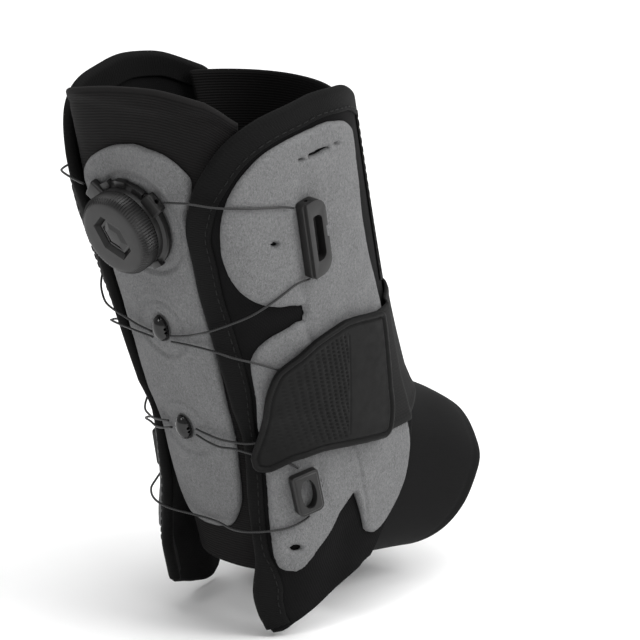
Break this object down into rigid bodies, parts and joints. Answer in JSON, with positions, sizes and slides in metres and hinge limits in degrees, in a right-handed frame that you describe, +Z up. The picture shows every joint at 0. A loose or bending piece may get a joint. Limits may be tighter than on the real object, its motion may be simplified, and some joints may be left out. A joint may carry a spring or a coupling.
{
  "type": "ankle brace",
  "caption": "Open-heel ankle brace with padded side panels, grey plates, a strap tab and a rear dial that draws a lace through guides to tighten it.",
  "frame": {"origin": "centre of the ankle that the brace holds, 78 mm above the sole", "axes": "+X towards the toes, -Y towards the side with the strap tab, +Z up"},
  "size_m": [0.1885, 0.1108, 0.2284],
  "materials": {
    "padded_panel": "matt black knit over foam",
    "binding_tape": "black woven tape, stitched along its inner edge",
    "flocked_plate": "heathered grey flock",
    "ribbed_knit": "black ribbed knit",
    "elastic": "dark stretch knit",
    "lace_cord": "smooth black braided cord",
    "grip_tab": "dark grey matt moulded face",
    "hard_plastic": "satin black moulding",
    "polished_plastic": "glossy black"
  },
  "bodies": {
    "brace": {"side_panel_near": "padded_panel", "side_binding_near": "binding_tape", "side_plate_near": "flocked_plate", "side_panel_far": "padded_panel", "side_binding_far": "binding_tape", "side_plate_far": "flocked_plate", "front_panel": "ribbed_knit", "foot_wrap": "elastic", "rear_tongue": "ribbed_knit", "rear_plate": "flocked_plate", "ankle_strap": "elastic", "strap_tab": "grip_tab", "dial_base": "hard_plastic", "rear_guide_upper": "polished_plastic", "rear_guide_lower": "polished_plastic", "side_guide_upper_near": "hard_plastic", "side_guide_lower_near": "hard_plastic", "lace_upper_near": "lace_cord", "lace_second_near": "lace_cord", "lace_third_near": "lace_cord", "lace_fourth_near": "lace_cord", "side_guide_upper_far": "hard_plastic", "side_guide_lower_far": "hard_plastic", "lace_upper_far": "lace_cord", "lace_second_far": "lace_cord", "lace_third_far": "lace_cord", "lace_fourth_far": "lace_cord", "lace_heel": "lace_cord"},
    "dial": {"dial_knob": "hard_plastic", "knob_cap": "polished_plastic"}
  },
  "joints": [
    {"name": "dial_turn", "type": "hinge", "parent": "brace", "child": "dial", "pos_m": [-0.09838, 0, 0.07362], "axis": [-0.956, 0, -0.2934], "continuous": true}
  ]
}
